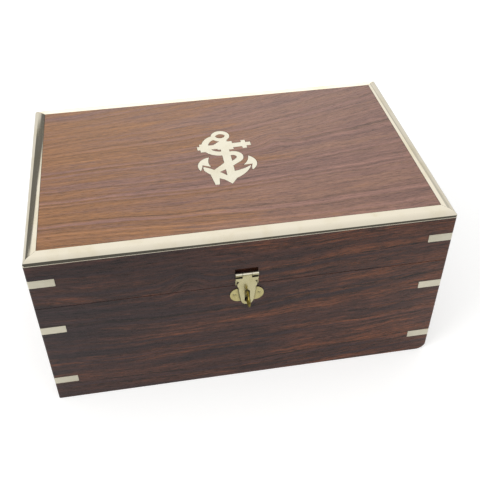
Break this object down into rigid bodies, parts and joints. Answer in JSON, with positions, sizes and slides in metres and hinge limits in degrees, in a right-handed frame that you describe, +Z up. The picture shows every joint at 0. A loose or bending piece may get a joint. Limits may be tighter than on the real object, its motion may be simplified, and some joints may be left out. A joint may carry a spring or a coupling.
{
  "type": "ditty box",
  "caption": "Rectangular hardwood keepsake box with a hinged lid, rounded brass edge strips, flush corner bars, an inlaid anchor and a hasp with its staple.",
  "frame": {"origin": "middle of the underside of the case", "axes": "+X to the right along the length seen from the front, +Y to the back, where the hinges are, +Z up"},
  "size_m": [0.254, 0.1724, 0.124],
  "materials": {
    "rosewood": "polished dark reddish brown with darker streaks",
    "lid_wood": "polished reddish brown with lengthwise figure",
    "brass_trim": "polished pale brass",
    "hasp_brass": "worn yellow brass",
    "felt": "dark red felt"
  },
  "bodies": {
    "case": {"front_panel": "rosewood", "back_panel": "rosewood", "left_panel": "rosewood", "right_panel": "rosewood", "bottom_panel": "rosewood", "floor_lining": "felt", "case_bar_front_left_lower": "brass_trim", "case_bar_front_left_upper": "brass_trim", "case_bar_front_right_lower": "brass_trim", "case_bar_front_right_upper": "brass_trim", "case_bar_back_left_lower": "brass_trim", "case_bar_back_left_upper": "brass_trim", "case_bar_back_right_lower": "brass_trim", "case_bar_back_right_upper": "brass_trim", "staple_plate": "hasp_brass", "staple": "hasp_brass", "staple_nails": "hasp_brass", "left_hinge_case_leaf": "brass_trim", "right_hinge_case_leaf": "brass_trim", "left_hinge_pin": "brass_trim", "right_hinge_pin": "brass_trim", "case_hinge_screws": "brass_trim"},
    "lid": {"lid_top_panel": "lid_wood", "lid_front_rail": "rosewood", "lid_back_rail": "rosewood", "lid_left_rail": "rosewood", "lid_right_rail": "rosewood", "front_edge_strip": "brass_trim", "back_edge_strip": "brass_trim", "left_edge_strip": "brass_trim", "right_edge_strip": "brass_trim", "lid_bar_front_left": "brass_trim", "lid_bar_front_right": "brass_trim", "lid_bar_back_left": "brass_trim", "lid_bar_back_right": "brass_trim", "anchor_inlay": "brass_trim", "left_fluke_inlay": "brass_trim", "right_fluke_inlay": "brass_trim", "hasp_plate": "hasp_brass", "hasp_plate_nails": "hasp_brass", "hasp_pin": "hasp_brass", "left_hinge_lid_leaf": "brass_trim", "right_hinge_lid_leaf": "brass_trim", "lid_hinge_screws": "brass_trim"},
    "hasp": {"hasp_leaf": "hasp_brass"}
  },
  "joints": [
    {"name": "lid_hinge", "type": "hinge", "parent": "case", "child": "lid", "pos_m": [0, 0.078, 0.0854], "axis": [-1, 0, 0], "range_deg": [0, 98]},
    {"name": "hasp_hinge", "type": "hinge", "parent": "lid", "child": "hasp", "pos_m": [-0.0006, -0.08245, 0.095], "axis": [-1, 0, 0], "range_deg": [0, 170]}
  ]
}
